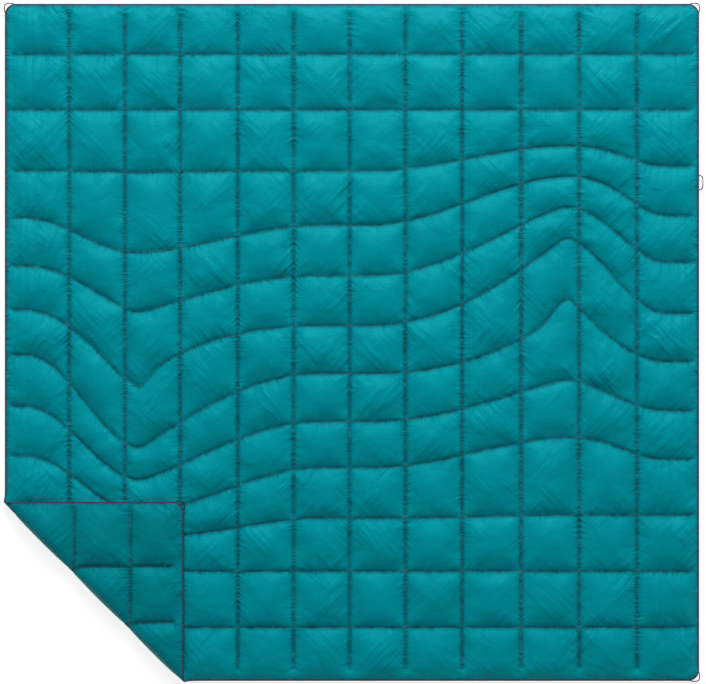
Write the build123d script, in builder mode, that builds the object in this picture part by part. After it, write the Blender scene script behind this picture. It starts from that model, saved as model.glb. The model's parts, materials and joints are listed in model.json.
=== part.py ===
from build123d import *
import math
import os

# A quilted camp blanket for two. It lies flat with its face fabric up, centred on the origin, and its
# lower left corner is folded over onto the face. X runs across the blanket, Y along it, Z up.
# Everything is laid out flat; the folded corner is the same layout, placed on a turned plane.

# Driving dimensions, in millimetres
WIDTH = 2030
LENGTH = 1980
LOFT = 28  # thickness of a filled chamber
SEAM_HEIGHT = 10  # the sewn seams lie this far above the surface that the blanket rests on
CORNER_RADIUS = 32
FOLD_LEG = 525  # the fold leaves each edge this far from the corner
FABRIC = 1.0  # the two shells are drawn this thick, so that they are closed solids
GAP = 0.2  # clearance between pieces that are sewn together
COLUMN_MARGIN = 28  # a column seam's thread stops this far from the blanket's edge
ROW_MARGIN = 14  # and a row seam's thread this far

# Quilting: the column seams are straight. A row seam has a dip on the left and a rise on the right.
COLUMN_SEAMS = (-827, -664, -503, -334, -171, -7, 156, 322, 494, 664, 833)
DIP_X = -627
DIP_LEFT = 325  # the dip's left flank is this wide
DIP_RIGHT = 534
DIP_LIFT = 0.26  # left of the dip the seam ends above its own level, by this share of the dip
RISE_X = 632
RISE_LEFT = 580
RISE_RIGHT = 290
# level, dip, its left and right sharpness, rise, its left and right sharpness, share left at the edge
ROW_SEAMS = (
    (842, 0, 1.0, 1.0, 0, 1.0, 1.0, 0.0),
    (680, 0, 1.0, 1.0, 0, 1.0, 1.0, 0.0),
    (501, 4, 0.56, 0.44, 73, 1.01, 1.25, 0.18),
    (343, 80, 1.03, 0.93, 142, 0.98, 1.25, 0.19),
    (196, 106, 0.8, 0.69, 199, 0.76, 1.03, 0.19),
    (49, 177, 0.74, 0.44, 255, 0.63, 0.88, 0.14),
    (-91, 216, 0.94, 0.64, 218, 0.45, 0.65, 0.16),
    (-231, 170, 0.97, 0.76, 121, 0.72, 0.88, 0.26),
    (-366, 134, 0.96, 0.93, 89, 0.93, 1.14, 0.27),
    (-513, 55, 0.97, 1.2, 9, 0.78, 1.0, 0.9),
    (-669, 0, 1.0, 1.0, 0, 1.0, 1.0, 0.0),
    (-833, 0, 1.0, 1.0, 0, 1.0, 1.0, 0.0),
)
CHORDS = 3  # straight pieces that a wavy seam has across each chamber
FLAP_COLUMNS = (1, 2)  # column seams that run over the folded corner
FLAP_ROWS = (11, 12)  # and row seams

# Chambers
SEAM_VALLEY = 3  # a chamber starts this far from the middle of its seam
EDGE_VALLEY = 14  # and this far from the blanket's edge
ROOF_INSET = 23  # and narrows by this much towards its top and its underside
SKIN = 2  # sideways thickness of a chamber's sloping fabric
SKIN_TOP = 1.2  # its thickness on top and underneath
SKIN_FOOT = 0.1  # it starts this deep in the seam's fabric

# Binding and thread
BINDING_WIDTH = 8
BINDING_HEIGHT = 4
BINDING_HOLD = 3  # the shells' raw edges stop this far inside the binding's outer face
THREAD_WIDTH = 2
THREAD = 0.7
BINDING_STITCH_INSET = 5.5
BAR_TACK = (8, 2.5, THREAD)
BAR_TACK_INSET = 4  # the bar tacks' middle, from the edge
BAR_TACK_OFFSET = 6  # and beyond the end of a corner loop

# Elastic loops
CORD = 3
CORNER_LOOP_OUT = 1.5  # the corner loops' middle line, outside the edge, so that they can swing
CORNER_LOOP_REACH = 25  # a corner loop's ends, from the square corner
CORNER_LOOP_BEND = 10
SIDE_LOOP_Y = 467
SIDE_LOOP_LENGTH = 43
SIDE_LOOP_SHOULDER = 30  # length of the side loop's outer run, between its bends
SIDE_LOOP_ROOT = 1.8  # its ends, outside the edge
SIDE_LOOP_OUT = 10.75
SIDE_LOOP_BEND = 9.5
SLEEVE_LENGTH = 17
SLEEVE_RADIUS = 3.25
SLEEVE_BORE = 1.6
SLEEVE_RIM = 0.8

# Heights in the flat layout. The folded corner's seams lie nearer its face, which is underneath.
FLAP_SEAM_HEIGHT = LOFT - SEAM_HEIGHT
FOLD_AXIS_Z = LOFT + GAP
FOLD_SUM = -(WIDTH + LENGTH) / 2 + FOLD_LEG  # the fold is the line x + y = FOLD_SUM
FOLD_CLEARANCE = 1.5
REACH = 3000  # longer than anything here, for cutting shapes
CUT_MARGIN = 1  # and how far they stand above and below it

FLAT = Plane.XY
FOLDED = Plane(origin=(FOLD_SUM, FOLD_SUM, 2 * FOLD_AXIS_Z), x_dir=(0, -1, 0), z_dir=(0, 0, -1))

COLUMN_LINES = (-WIDTH / 2, *COLUMN_SEAMS, WIDTH / 2)
ROWS = len(ROW_SEAMS) + 1
COLUMNS = len(COLUMN_SEAMS) + 1


def flank(distance, width, sharpness):
    """Share of a wave's height that is left at this distance from its crest: 1 there and 0 at its foot."""
    share = min(1.0, distance / width) ** sharpness
    return 1 - share * share * (3 - 2 * share)


def seam_y(row, x):
    """Height up the blanket of a row seam, counted from 1, or of the top or bottom edge."""
    if row in (0, ROWS):
        return LENGTH / 2 if row == 0 else -LENGTH / 2
    level, dip, dip_left, dip_right, rise, rise_left, rise_right, rise_end = ROW_SEAMS[row - 1]
    if x < DIP_X:
        down = (1 + DIP_LIFT) * flank(DIP_X - x, DIP_LEFT, dip_left) - DIP_LIFT
    else:
        down = flank(x - DIP_X, DIP_RIGHT, dip_right)
    if x < RISE_X:
        up = flank(RISE_X - x, RISE_LEFT, rise_left)
    else:
        up = (1 - rise_end) * flank(x - RISE_X, RISE_RIGHT, rise_right) + rise_end
    return level - dip * down + rise * up


def is_wavy(row):
    """Whether a row seam waves, which the two edges and the outer seams don't."""
    return 0 < row < ROWS and ROW_SEAMS[row - 1][1] + ROW_SEAMS[row - 1][4] > 0


def stations():
    """Where a wavy seam bends, from left to right: on each column line, between them, and at its crests."""
    places = []
    for left, right in zip(COLUMN_LINES, COLUMN_LINES[1:]):
        inner = [left + (right - left) * step / CHORDS for step in range(1, CHORDS)]
        for crest in (DIP_X, RISE_X):
            if left < crest < right:
                inner.remove(min(inner, key=lambda place: abs(place - crest)))
                inner.append(crest)
        places += [left, *sorted(inner)]
    return [*places, COLUMN_LINES[-1]]


STATIONS = stations()


def line_y(row, x):
    """Height of a row seam's straight pieces at x, and how much longer than level they are there."""
    after = min(max(1, sum(place < x for place in STATIONS)), len(STATIONS) - 1)
    x0, x1 = STATIONS[after - 1], STATIONS[after]
    y0, y1 = seam_y(row, x0), seam_y(row, x1)
    slope = (y1 - y0) / (x1 - x0)
    if x in STATIONS[1:-1] and after < len(STATIONS) - 1:
        x2 = STATIONS[after + 1]
        slope = (slope + (seam_y(row, x2) - y1) / (x2 - x1)) / 2
    return y0 + (y1 - y0) * (x - x0) / (x1 - x0), math.hypot(1, slope)


def row_side(row, left, right, inset):
    """Points of a chamber's upper (inset below 0) or lower side, from left to right."""
    bends = [x for x in STATIONS if left < x < right] if is_wavy(row) else []
    points = []
    for x in (left, *bends, right):
        y, slant = line_y(row, x)
        points.append((x, y + inset * slant))
    return points


def chamber(column, row, inset):
    """Outline of a chamber of the quilt, pulled in from its seams and from the edge."""
    edge = EDGE_VALLEY - SEAM_VALLEY
    left = COLUMN_LINES[column] + inset + (edge if column == 0 else 0)
    right = COLUMN_LINES[column + 1] - inset - (edge if column == COLUMNS - 1 else 0)
    top_inset = inset + (edge if row == 0 else 0)
    bottom_inset = inset + (edge if row == ROWS - 1 else 0)
    upper = row_side(row, left, right, -top_inset)
    lower = row_side(row + 1, left, right, bottom_inset)
    return [*lower, *reversed(upper)]


def corner_sketch(sign):
    """Half of the layout: sign 1 is past the fold, where the corner turns over, and -1 the rest."""
    line = FOLD_SUM - sign * FOLD_CLEARANCE * math.sqrt(2)
    with BuildSketch() as half:
        with BuildLine():
            Polyline(
                (line + REACH, -REACH),
                (-REACH, line + REACH),
                (-REACH * sign, -REACH * sign) if sign == 1 else (REACH, REACH),
                close=True,
            )
        make_face()
    return half.sketch


def crosses(column, row):
    """Whether a chamber has a part on the blanket, and a part on the folded corner."""
    outline = chamber(column, row, 0)
    sums = [x + y for x, y in outline]
    return max(sums) > FOLD_SUM, min(sums) < FOLD_SUM


def chamber_row(row, plane, sections, side):
    """One row of chambers, lofted through (inset, height) sections. side 0 is the blanket, 1 the corner."""
    with BuildPart() as chambers:
        for column in range(COLUMNS):
            if not crosses(column, row)[side]:
                continue
            for inset, height in sections:
                with BuildSketch(plane.offset(height)):
                    Polygon(*chamber(column, row, inset), align=None)
            loft(ruled=True)
        if any(all(crosses(column, row)) for column in range(COLUMNS)):
            with BuildSketch(plane.offset(-CUT_MARGIN)):
                add(corner_sketch(1 if side else -1))
            extrude(amount=LOFT + 2 * CUT_MARGIN, mode=Mode.INTERSECT)
    return chambers.part


def outline(inset, side):
    """The blanket's outline, pulled in, on one side of the fold."""
    with BuildSketch() as shape:
        RectangleRounded(WIDTH - 2 * inset, LENGTH - 2 * inset, CORNER_RADIUS - inset)
        add(corner_sketch(1 if side else -1), mode=Mode.INTERSECT)
    return shape.sketch


def finish(part, name):
    """Name a finished piece and write it."""
    part.label = name
    export_step(part, f"parts/{name}.step")


def shell(name, plane, side, seam, up, pads):
    """One fabric layer: a sheet in the seams, raised over each chamber, and hollow where its fill lies."""
    sheet = seam + GAP / 2 if up else seam - GAP / 2 - FABRIC
    roof = LOFT if up else 0
    foot = sheet + (SKIN_FOOT if up else FABRIC - SKIN_FOOT)
    sections = ((SEAM_VALLEY, foot), (SEAM_VALLEY + ROOF_INSET, roof))
    rows = [row for row in range(ROWS) if any(crosses(column, row)[side] for column in range(COLUMNS))]
    pillows = [chamber_row(row, plane, sections if up else sections[::-1], side) for row in rows]
    with BuildPart() as layer:
        with BuildSketch(plane.offset(sheet)):
            add(outline(BINDING_HOLD, side))
        extrude(amount=FABRIC)
        add(pillows)
        add(pads, mode=Mode.SUBTRACT)
    finish(layer.part, name)


def fill(row, plane, side, seam):
    """The insulation of one row of chambers, a pad in each."""
    top = SEAM_VALLEY + SKIN
    sections = ((top + ROOF_INSET, SKIN_TOP), (top, seam), (top + ROOF_INSET, LOFT - SKIN_TOP))
    return chamber_row(row, plane, sections, side)


def binding(name, plane, side, seam):
    """Tape folded round the shells' raw edges, with a slot that holds them."""
    with BuildPart() as tape:
        with BuildSketch(plane.offset(seam - BINDING_HEIGHT / 2)):
            add(outline(0, side))
            add(outline(BINDING_WIDTH, side), mode=Mode.SUBTRACT)
        extrude(amount=BINDING_HEIGHT)
        half_slot = GAP / 2 + FABRIC + GAP
        with BuildSketch(plane.offset(seam - half_slot)):
            add(outline(BINDING_HOLD - GAP, side))
        extrude(amount=2 * half_slot, mode=Mode.SUBTRACT)
    finish(tape.part, name)


def binding_stitching(name, plane, side, seam):
    """The line of thread through the binding, above and below."""
    lift = BINDING_HEIGHT / 2 + GAP / 2
    with BuildPart() as thread:
        for height in (seam + lift, seam - lift - THREAD):
            with BuildSketch(plane.offset(height)):
                add(outline(BINDING_STITCH_INSET, side))
                add(outline(BINDING_STITCH_INSET + THREAD_WIDTH / 2, side), mode=Mode.SUBTRACT)
            extrude(amount=THREAD)
    finish(thread.part, name)


def seam_levels(seam, layer):
    """Heights of a seam's upper and lower thread. layer 0 is next to the fabric, 1 lies over it."""
    lift = FABRIC + GAP + layer * (THREAD + GAP)
    return seam + lift, seam - lift - THREAD


def column_stitch(column, plane, side, seam):
    """Two threads of one column seam, counted from 1: one on each side of the blanket."""
    x = COLUMN_SEAMS[column - 1]
    with BuildPart() as thread:
        for height in seam_levels(seam, 0):
            with BuildSketch(plane.offset(height)):
                with Locations((x, 0)):
                    Rectangle(THREAD_WIDTH, LENGTH - 2 * COLUMN_MARGIN)
                add(corner_sketch(1 if side else -1), mode=Mode.INTERSECT)
            extrude(amount=THREAD)
    return thread.part


def row_stitch(row, plane, side, seam):
    """Two threads of one row seam, counted from 1: one on each side of the blanket."""
    end = WIDTH / 2 - ROW_MARGIN
    upper = row_side(row, -end, end, THREAD_WIDTH / 2)
    lower = row_side(row, -end, end, -THREAD_WIDTH / 2)
    with BuildPart() as thread:
        for height in seam_levels(seam, 1):
            with BuildSketch(plane.offset(height)):
                with BuildLine():
                    Polyline(*lower, *reversed(upper), close=True)
                make_face()
                add(corner_sketch(1 if side else -1), mode=Mode.INTERSECT)
            extrude(amount=THREAD)
    return thread.part


def corner_point(corner, along_x, along_y):
    """A point given from a square corner of the blanket, inwards. corner is (+-1, +-1)."""
    return (corner[0] * (WIDTH / 2 - along_x), corner[1] * (LENGTH / 2 - along_y))


def corner_loop(name, plane, corner, seam):
    """Elastic cord round a blanket corner, in one bend."""
    out, reach = -CORNER_LOOP_OUT, CORNER_LOOP_REACH
    points = [corner_point(corner, *point) for point in ((out, reach), (out, out), (reach, out))]
    level = plane.offset(seam)
    heading = (0, corner[1], 0)
    with BuildPart() as cord:
        with BuildLine(level):
            FilletPolyline(*points, radius=CORNER_LOOP_BEND)
        at = level.from_local_coords(Vector(*points[0], 0))
        ahead = level.from_local_coords(Vector(*points[0], 0) + Vector(*heading)) - at
        with BuildSketch(Plane(origin=at, z_dir=ahead)):
            Circle(CORD / 2)
        sweep()
    finish(cord.part, name)
    return cord.part


def side_loop():
    """Elastic cord on the right edge, with straight shoulders."""
    edge = WIDTH / 2 + SIDE_LOOP_ROOT
    out = WIDTH / 2 + SIDE_LOOP_OUT
    half, shoulder = SIDE_LOOP_LENGTH / 2, SIDE_LOOP_SHOULDER / 2
    points = ((edge, half), (out, shoulder), (out, -shoulder), (edge, -half))
    with BuildPart() as cord:
        with BuildLine(Plane.XY.offset(SEAM_HEIGHT)):
            FilletPolyline(*[(x, SIDE_LOOP_Y + y) for x, y in points], radius=SIDE_LOOP_BEND)
        ahead = (out - edge, shoulder - half, 0)
        with BuildSketch(Plane(origin=(edge, SIDE_LOOP_Y + half, SEAM_HEIGHT), z_dir=ahead)):
            Circle(CORD / 2)
        sweep()
    finish(cord.part, "side_loop")


def side_loop_sleeve():
    """Plastic sleeve that keeps the side loop open, with a cord bore and rounded rims."""
    middle = Plane(
        origin=(WIDTH / 2 + SIDE_LOOP_OUT, SIDE_LOOP_Y - SLEEVE_LENGTH / 2, SEAM_HEIGHT), z_dir=(0, 1, 0)
    )
    with BuildPart() as sleeve:
        with BuildSketch(middle):
            Circle(SLEEVE_RADIUS)
            Circle(SLEEVE_BORE, mode=Mode.SUBTRACT)
        extrude(amount=SLEEVE_LENGTH)
        rims = sleeve.edges().filter_by(GeomType.CIRCLE).group_by(SortBy.RADIUS)[-1]
        fillet(rims, SLEEVE_RIM)
    finish(sleeve.part, "side_loop_sleeve")


def bar_tacks(name, plane, places, seam, above):
    """Short dense blocks of stitching over the binding, each at ((x, y), angle)."""
    length, width, height = BAR_TACK
    lift = BINDING_HEIGHT / 2 + THREAD + 2 * GAP
    level = seam + lift if above else seam - lift - height
    with BuildPart() as tacks:
        with BuildSketch(plane.offset(level)):
            for place, angle in places:
                with Locations(place):
                    Rectangle(length, width, rotation=angle)
        extrude(amount=height)
    finish(tacks.part, name)


def corner_tacks(corner):
    """The two bar tacks over the ends of a corner loop."""
    return (
        (corner_point(corner, BAR_TACK_INSET, CORNER_LOOP_REACH + BAR_TACK_OFFSET), 0),
        (corner_point(corner, CORNER_LOOP_REACH + BAR_TACK_OFFSET, BAR_TACK_INSET), 90),
    )


os.makedirs("parts", exist_ok=True)

fill_rows = [fill(row, FLAT, 0, SEAM_HEIGHT) for row in range(ROWS)]
for number, pads in enumerate(fill_rows, start=1):
    finish(pads, f"fill_row_{number:02d}")
shell("face_shell", FLAT, 0, SEAM_HEIGHT, True, fill_rows)
shell("back_shell", FLAT, 0, SEAM_HEIGHT, False, fill_rows)
binding("edge_binding", FLAT, 0, SEAM_HEIGHT)
binding_stitching("binding_stitching", FLAT, 0, SEAM_HEIGHT)
for number in range(1, COLUMNS):
    finish(column_stitch(number, FLAT, 0, SEAM_HEIGHT), f"stitch_column_{number:02d}")
for number in range(1, ROWS):
    finish(row_stitch(number, FLAT, 0, SEAM_HEIGHT), f"stitch_row_{number:02d}")

LOOP_CORNERS = {"top_left": (-1, 1), "top_right": (1, 1), "bottom_right": (1, -1)}
for place, corner in LOOP_CORNERS.items():
    corner_loop(f"corner_loop_{place}", FLAT, corner, SEAM_HEIGHT)
tack_places = [tack for corner in LOOP_CORNERS.values() for tack in corner_tacks(corner)]
bar_tacks("corner_bar_tacks", FLAT, tack_places, SEAM_HEIGHT, True)
side_loop()
side_loop_sleeve()
side_ends = [
    ((WIDTH / 2 - BAR_TACK_INSET, SIDE_LOOP_Y + sign * SIDE_LOOP_LENGTH / 2), 0) for sign in (1, -1)
]
bar_tacks("side_loop_bar_tacks", FLAT, side_ends, SEAM_HEIGHT, True)

flap_rows = [row for row in range(ROWS) if any(crosses(column, row)[1] for column in range(COLUMNS))]
flap_pads = [fill(row, FOLDED, 1, FLAP_SEAM_HEIGHT) for row in flap_rows]
with BuildPart() as flap_fill:
    add(flap_pads)
finish(flap_fill.part, "flap_fill")
shell("flap_face_shell", FOLDED, 1, FLAP_SEAM_HEIGHT, True, flap_pads)
shell("flap_back_shell", FOLDED, 1, FLAP_SEAM_HEIGHT, False, flap_pads)
binding("flap_binding", FOLDED, 1, FLAP_SEAM_HEIGHT)
binding_stitching("flap_binding_stitching", FOLDED, 1, FLAP_SEAM_HEIGHT)
with BuildPart() as flap_columns:
    add([column_stitch(number, FOLDED, 1, FLAP_SEAM_HEIGHT) for number in FLAP_COLUMNS])
finish(flap_columns.part, "flap_stitch_columns")
with BuildPart() as flap_seams:
    add([row_stitch(number, FOLDED, 1, FLAP_SEAM_HEIGHT) for number in FLAP_ROWS])
finish(flap_seams.part, "flap_stitch_rows")
corner_loop("flap_corner_loop", FOLDED, (-1, -1), FLAP_SEAM_HEIGHT)
bar_tacks("flap_bar_tacks", FOLDED, corner_tacks((-1, -1)), FLAP_SEAM_HEIGHT, False)
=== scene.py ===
"""Looks of the quilted camp blanket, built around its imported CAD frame. Metres, +Z up."""

import json
import math

import bpy
import numpy as np
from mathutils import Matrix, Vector


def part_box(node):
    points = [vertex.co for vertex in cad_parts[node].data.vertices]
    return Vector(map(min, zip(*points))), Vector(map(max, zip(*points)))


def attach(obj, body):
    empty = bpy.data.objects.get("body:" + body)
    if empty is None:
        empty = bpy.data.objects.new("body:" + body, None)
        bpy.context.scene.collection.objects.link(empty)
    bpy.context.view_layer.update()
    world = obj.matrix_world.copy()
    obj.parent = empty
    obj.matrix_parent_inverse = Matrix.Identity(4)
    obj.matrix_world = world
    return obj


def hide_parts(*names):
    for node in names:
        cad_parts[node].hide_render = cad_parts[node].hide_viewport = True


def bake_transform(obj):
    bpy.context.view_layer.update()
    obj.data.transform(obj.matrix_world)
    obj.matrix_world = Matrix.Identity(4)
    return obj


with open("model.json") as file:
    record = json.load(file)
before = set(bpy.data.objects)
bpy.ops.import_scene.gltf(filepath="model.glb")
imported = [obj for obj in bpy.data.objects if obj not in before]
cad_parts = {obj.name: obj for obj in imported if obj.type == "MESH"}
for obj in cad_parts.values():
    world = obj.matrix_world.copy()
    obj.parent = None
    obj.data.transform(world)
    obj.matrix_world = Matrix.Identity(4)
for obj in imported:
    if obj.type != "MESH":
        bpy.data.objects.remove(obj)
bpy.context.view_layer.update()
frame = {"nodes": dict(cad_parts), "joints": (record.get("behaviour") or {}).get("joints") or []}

# ---------------------------------------------------------------- measures taken from the frame
EDGE_LOW, EDGE_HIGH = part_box("edge_binding")
HALF_WIDTH = EDGE_HIGH.x
HALF_LENGTH = EDGE_HIGH.y
SEAM_Z = (EDGE_LOW.z + EDGE_HIGH.z) / 2
LOFT_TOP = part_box("face_shell")[1].z
PUFF = 1.22 * (LOFT_TOP - SEAM_Z)  # the face's domes stand a little over the chambers' flat tops
FLAP_LOW, FLAP_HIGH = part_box("flap_binding")
FOLD = next(joint for joint in frame["joints"] if joint["name"] == "corner_fold")
FOLD_SUM = FOLD["pos_m"][0] + FOLD["pos_m"][1]  # the fold is the line x + y = FOLD_SUM
FOLD_Z = FOLD["pos_m"][2]
FLAP_SEAM_Z = (FLAP_LOW.z + FLAP_HIGH.z) / 2
FLAP_SEAM_FLAT = 2 * FOLD_Z - FLAP_SEAM_Z  # the corner's seam height when it is unfolded
COLUMN_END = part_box("stitch_column_11")[1].y  # the seams' thread stops short of the binding
ROW_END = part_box("stitch_row_01")[1].x
COLUMN_COUNT = 12
ROW_COUNT = 13

# ---------------------------------------------------------------- sizes that belong to the looks
CORNER_RADIUS = 0.032
MESH_STEP = 0.004  # spacing of the quilt's mesh; the inflation runs on every second line of it
FRAMES = 18  # length of the inflation
SLACK = 0.006  # the cloth is cut this much larger than the outline that it is sewn to
PRESSURE = 3.0
SMOOTHINGS = 4  # passes that take the mesh's own grain out of the inflated cloth
STEEPNESS = 0.84  # how sharply the cloth rises from its seams: 1 is a plain dome, less is sharper
START_LIFT, START_NOISE = 0.002, 0.0004  # the sheet's height before it is inflated
PRESS = 1.25  # how firmly the cloth fills the room that a flat surface leaves it
CHAMBER = 0.165  # a usual chamber's width

# pleats: their height, how far they reach from the seam, and how soon they rise beside it
ROW_PLEAT, ROW_REACH, ROW_RISE = 0.0015, 0.026, 0.004
COLUMN_PLEAT, COLUMN_REACH, COLUMN_RISE = 0.0019, 0.013, 0.004
EDGE_PLEAT, SIDE_REACH, END_REACH, EDGE_RISE = 0.0022, 0.03, 0.04, 0.008
PLEAT_PITCH, EDGE_PITCH = 0.0085, 0.012  # from one pleat to the next, along a seam
ROW_RUN, COLUMN_RUN, EDGE_RUN, STREAK_RUN = 0.12, 0.06, 0.05, 0.2  # how far one runs before it changes
COLUMN_LEAN, SIDE_LEAN, END_LEAN = 1.1, 0.9, 0.35  # how much they slant
LEAN_RUN = 0.12  # how far up the blanket a slant changes
PATCH_ACROSS, PATCH_ALONG = 0.06, 0.05  # the size of the patches where the seams gather the cloth more
PATCH_LEVEL, PATCH_SPREAD = 0.55, 0.7
COLUMN_GATHER = 0.2  # the column seams gather the cloth this much everywhere
EDGE_DEPTH = 0.4  # further in than this, the edge's pleats are gone
OUTER_COLUMN = 0.17  # the streaks across the outer columns end about this far in
STREAK_FADE, STREAK_RISE = 0.02, 0.006
ROW_CREASE_REACH = 0.014  # of the finer pleats, which are in the material

# painted shade: the cloth's colour is darkened along the seams, where shade falls in their valleys
ROW_SHADE_DEPTH, ROW_SHADE_WIDTH = 0.62, 0.0055
ROW_SHADE_DROP = 0.003  # a row's shade is centred this far below its seam
COLUMN_SHADE_DEPTH, COLUMN_SHADE_WIDTH = 0.75, 0.006
SEAM_FADE = 0.02  # a seam's shade fades over this distance at its ends
SHADE_BLOTCH_DEPTH, SHADE_BLOTCH_SIZE = 0.45, 0.012

# the binding, the fold and the loops
TAPE_LIP = 0.0012  # the cloth's edge lies this far above and below the middle of the tape
TAPE_GRIP = 0.003  # and this far in from the tape's outer edge
LIP_REACH = 0.02  # the lift that the tape's thickness gives the cloth dies away over this distance
TAPE_WIDTH = 0.0074
TAPE_THICK = 0.0021  # half of the folded tape's thickness
TAPE_ROUND = 0.0019  # its rounded outer edge reaches this far in
TAPE_FLAT = 0.0024  # its flat faces start this far in
TAPE_RIPPLE = 0.0004
EDGE_STEP = 0.007  # from point to point along the tape
WRAP = 0.030  # the cloth bends round the fold within this distance of it
BULGE = 0.005  # and stands this far outside it
EDGE_HOLD = 0.05  # within this distance of the cloth's edge the bulge slides along the edge only
DROOP = 0.007  # the folded corner's free edges hang this much lower than its middle
DROOP_REACH = 0.16
OVERLAP = 0.004  # the face cloth on either side of the fold goes this far past it
FLAP_ROOM = 0.0098  # what the folded corner's inner side has for its puff
FLOOR_GAP = 0.0004
CORD_DIAMETER = 0.003
THREAD_WIDTH = 0.0015  # a CAD thread is at least this wide where it has points on both its sides


def smooth(t):
    """0 before 0, 1 after 1 and a smooth rise between."""
    t = np.clip(t, 0, 1)
    return t * t * (3 - 2 * t)


# ---------------------------------------------------------------- the quilting pattern
def node_points(name):
    """A CAD node's corners."""
    mesh = frame["nodes"][name].data
    points = np.zeros(len(mesh.vertices) * 3, np.float32)
    mesh.vertices.foreach_get("co", points)
    return points.reshape(-1, 3).astype(float)


def seam_middle(name):
    """The middle line of a row seam's thread, as (x, y) points from left to right."""
    heights = {}
    for x, y, _ in node_points(name):
        heights.setdefault(round(x, 4), []).append(y)
    widths = {x: max(ys) - min(ys) for x, ys in heights.items()}
    line = [(x, (min(ys) + max(ys)) / 2) for x, ys in sorted(heights.items()) if widths[x] > THREAD_WIDTH]
    if len(line) < 2:
        line = [(-line[0][0], line[0][1]), *line]
    return np.array(line)


def curve_through(points, x):
    """A smooth curve through the points, with no overshoot between them (Fritsch and Carlson)."""
    known_x, known_y = points[:, 0], points[:, 1]
    width = np.diff(known_x)
    slope = np.diff(known_y) / width
    tangent = np.zeros(len(known_x))
    tangent[0], tangent[-1] = slope[0], slope[-1]
    for i in range(1, len(known_x) - 1):
        if slope[i - 1] * slope[i] > 0:
            before, after = 2 * width[i] + width[i - 1], width[i] + 2 * width[i - 1]
            tangent[i] = (before + after) / (before / slope[i - 1] + after / slope[i])
    i = np.clip(np.searchsorted(known_x, x) - 1, 0, len(width) - 1)
    t = np.clip((x - known_x[i]) / width[i], 0, 1)
    start = (1 + 2 * t) * (1 - t) ** 2 * known_y[i] + t * (1 - t) ** 2 * width[i] * tangent[i]
    return start + t * t * (3 - 2 * t) * known_y[i + 1] + t * t * (t - 1) * width[i] * tangent[i + 1]


def column_lines():
    """Where the columns of chambers begin and end, from left to right."""
    seams = []
    for number in range(1, COLUMN_COUNT):
        low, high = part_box(f"stitch_column_{number:02d}")
        seams.append((low.x + high.x) / 2)
    return np.array([-HALF_WIDTH + TAPE_GRIP, *seams, HALF_WIDTH - TAPE_GRIP])


COLUMN_X = column_lines()
ROW_LINES = [seam_middle(f"stitch_row_{number:02d}") for number in range(1, ROW_COUNT)]


def row_y(row, x):
    """Height up the blanket of a row seam, counted from 1, or of the cloth's top or bottom edge."""
    x = np.asarray(x, float)
    if row == 0:
        return np.full_like(x, HALF_LENGTH - TAPE_GRIP)
    if row == ROW_COUNT:
        return np.full_like(x, -HALF_LENGTH + TAPE_GRIP)
    return curve_through(ROW_LINES[row - 1], x)


def even(value):
    """The nearest even number, and at least 2."""
    return max(2, 2 * round(value / 2))


def quilt_grid():
    """The cloth's flat mesh: (rows, columns, 2) places, and which of them are sewn down."""
    xs, on_column = [], []
    for left, right in zip(COLUMN_X, COLUMN_X[1:]):
        count = even((right - left) / MESH_STEP)
        xs += list(left + (right - left) * np.arange(count) / count)
        on_column += [True] + [False] * (count - 1)
    xs = np.array([*xs, COLUMN_X[-1]])
    on_column = np.array([*on_column, True])
    ys, on_row = [], []
    for row in range(ROW_COUNT):
        above, below = row_y(row, xs), row_y(row + 1, xs)
        count = even((above - below).mean() / MESH_STEP)
        ys += [above + (below - above) * step / count for step in range(count)]
        on_row += [True] + [False] * (count - 1)
    ys = np.array([*ys, row_y(ROW_COUNT, xs)])
    on_row = np.array([*on_row, True])
    place = np.stack([np.broadcast_to(xs, ys.shape), ys], -1)
    quilted_y = np.abs(ys) < COLUMN_END
    quilted_x = np.abs(place[..., 0]) < ROW_END
    sewn = (on_column[None, :] & quilted_y) | (on_row[:, None] & quilted_x)
    sewn[0, :] = sewn[-1, :] = sewn[:, 0] = sewn[:, -1] = True
    return place, sewn, on_column, on_row


def round_corners(place):
    """Turn the grid's square corners into the blanket's round ones."""
    centre = np.array([HALF_WIDTH - CORNER_RADIUS, HALF_LENGTH - CORNER_RADIUS])
    past = np.maximum(np.abs(place) - centre, 0)
    both = (past > 0).all(-1)
    length = np.hypot(past[..., 0], past[..., 1])
    scale = np.where(both, past.max(-1) / np.where(length > 0, length, 1), 1)
    return np.sign(place) * (np.minimum(np.abs(place), centre) + past * scale[..., None])


GRID, SEWN, ON_COLUMN, ON_ROW = quilt_grid()
GRID = round_corners(GRID)


def nearest_rows():
    """For each line of the grid, the row seam's line that is nearest to it."""
    rows = np.nonzero(ON_ROW)[0]
    return rows[np.argmin(np.abs(np.arange(len(ON_ROW))[:, None] - rows), axis=1)]


def seam_distance():
    """Each grid point's distance to its nearest row line and column line, and 1 where it is below its
    nearest row line or -1 where it is above it."""
    rows = np.nonzero(ON_ROW)[0]
    columns = np.nonzero(ON_COLUMN)[0]
    to_row = np.min([np.abs(GRID[..., 1] - GRID[row, :, 1][None, :]) for row in rows], axis=0)
    to_column = np.min([np.abs(GRID[..., 0] - GRID[:, column, 0][:, None]) for column in columns], axis=0)
    below = np.sign(GRID[nearest_rows(), :, 1] - GRID[..., 1])
    return to_row, to_column, below


def ripples(seed, across, along, x=GRID[..., 0], y=GRID[..., 1]):
    """Smooth random waves over the flat layout, with knots this far apart in X and Y, mostly within 1."""
    u = (x - x.min()) / across
    v = (y - y.min()) / along
    column, row = np.floor(u).astype(int), np.floor(v).astype(int)
    knots = np.random.default_rng(seed).normal(0, 0.6, (row.max() + 2, column.max() + 2))
    u, v = smooth(u - column), smooth(v - row)
    near = knots[row, column] * (1 - u) + knots[row, column + 1] * u
    far = knots[row + 1, column] * (1 - u) + knots[row + 1, column + 1] * u
    return near * (1 - v) + far * v


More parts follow.
